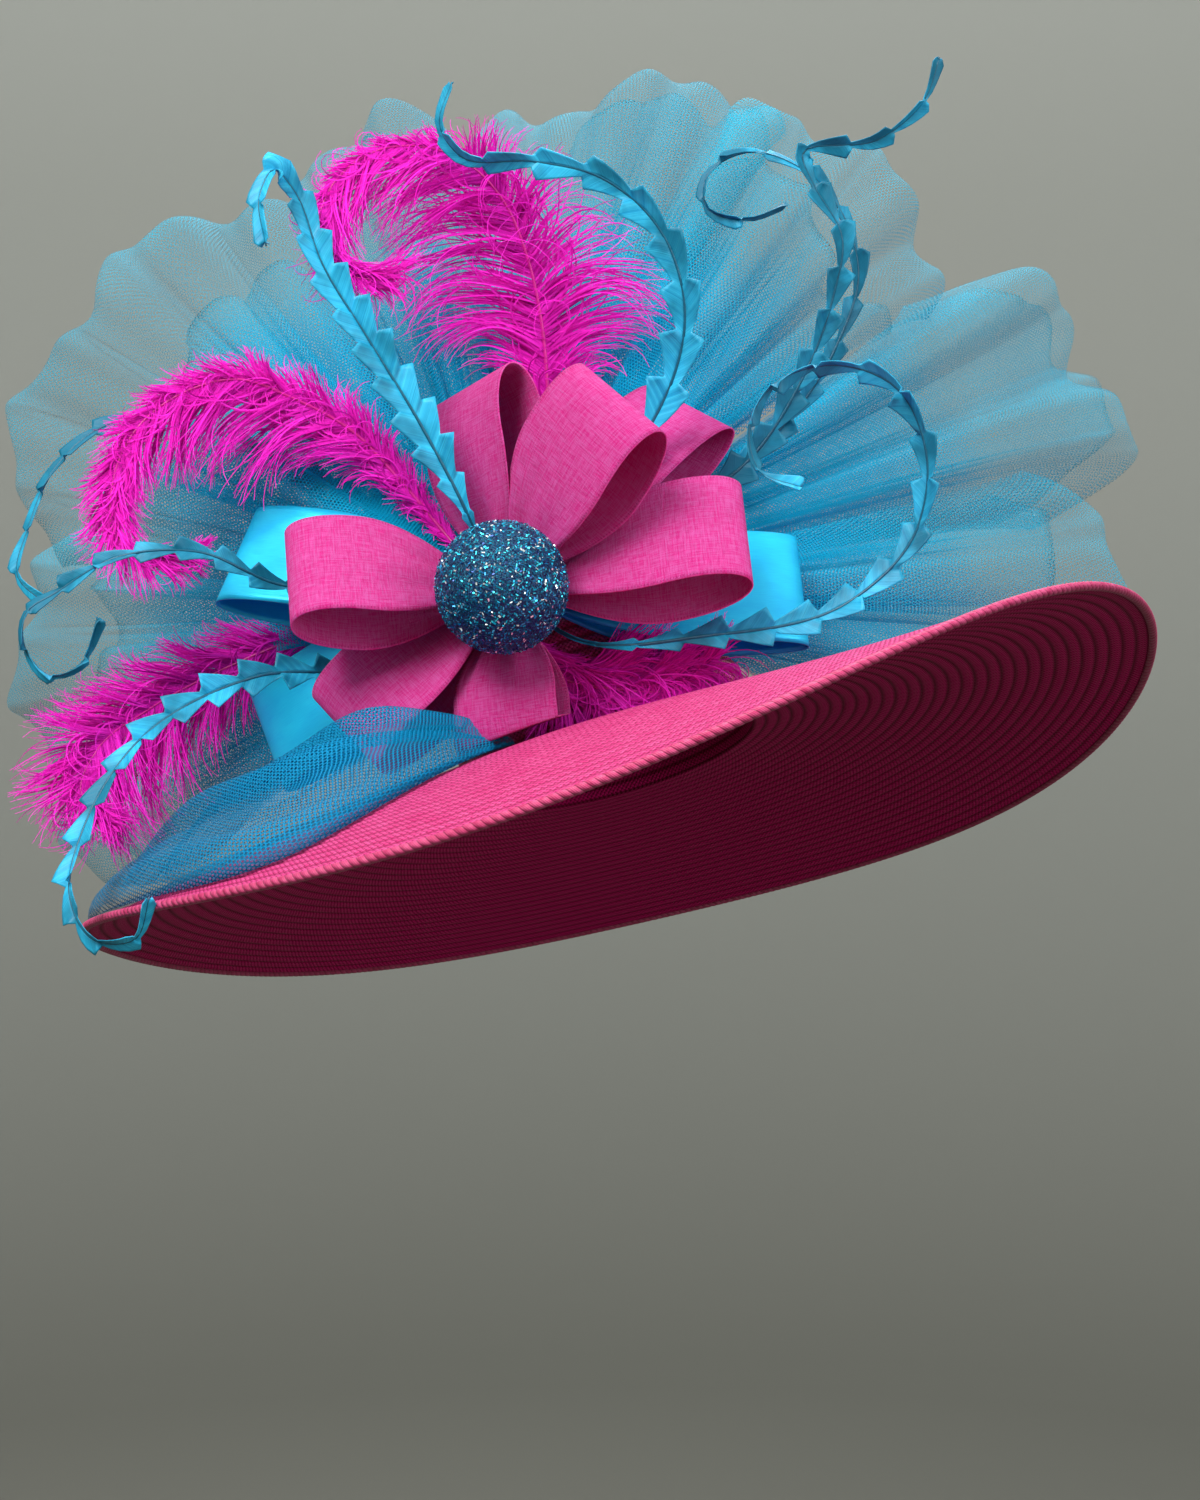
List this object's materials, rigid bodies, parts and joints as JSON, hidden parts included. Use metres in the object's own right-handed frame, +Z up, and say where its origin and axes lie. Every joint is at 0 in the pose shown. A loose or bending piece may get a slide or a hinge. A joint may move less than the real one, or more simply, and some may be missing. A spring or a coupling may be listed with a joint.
{
  "type": "derby hat",
  "caption": "Wide waved straw brim and oval crown, trimmed at the front left with a glitter ball, ribbon loops, curled plumes, notched feathers and a tulle fan.",
  "frame": {"origin": "middle of the head opening, level with the root of the brim, where a head carries the hat", "axes": "+Z up the middle of the crown, -Y to the front of the hat, +X to the right as the front is seen"},
  "size_m": [0.6324, 0.6254, 0.436],
  "materials": {
    "straw": "pink sewn straw braid, matt with a slight sheen",
    "base_cloth": "plain pink cloth",
    "glitter": "teal glitter flakes",
    "linen_ribbon": "pink slub weave, matt",
    "satin_ribbon": "blue satin, glossy",
    "ostrich_plume": "magenta feather barbs",
    "notched_feather": "turquoise feather vane with a silky sheen",
    "tulle_net": "turquoise fine net"
  },
  "bodies": {
    "root": {"crown": "straw", "brim": "straw", "brim_edge": "straw", "trim_base": "base_cloth", "glitter_ball": "glitter", "linen_loop_1": "linen_ribbon", "linen_loop_2": "linen_ribbon", "linen_loop_3": "linen_ribbon", "linen_loop_4": "linen_ribbon", "linen_loop_5": "linen_ribbon", "linen_loop_6": "linen_ribbon", "linen_loop_7": "linen_ribbon", "satin_loop_1": "satin_ribbon", "satin_loop_2": "satin_ribbon", "satin_loop_3": "satin_ribbon", "plume_1": "ostrich_plume", "plume_2": "ostrich_plume", "plume_3": "ostrich_plume", "plume_4": "ostrich_plume", "notched_feather_1": "notched_feather", "notched_feather_2": "notched_feather", "notched_feather_3": "notched_feather", "notched_feather_4": "notched_feather", "notched_feather_5": "notched_feather", "notched_feather_6": "notched_feather", "notched_feather_7": "notched_feather", "notched_feather_8": "notched_feather", "tulle_1": "tulle_net", "tulle_2": "tulle_net", "tulle_3": "tulle_net", "tulle_4": "tulle_net", "tulle_5": "tulle_net", "tulle_6": "tulle_net", "tulle_7": "tulle_net", "tulle_8": "tulle_net"}
  },
  "joints": []
}
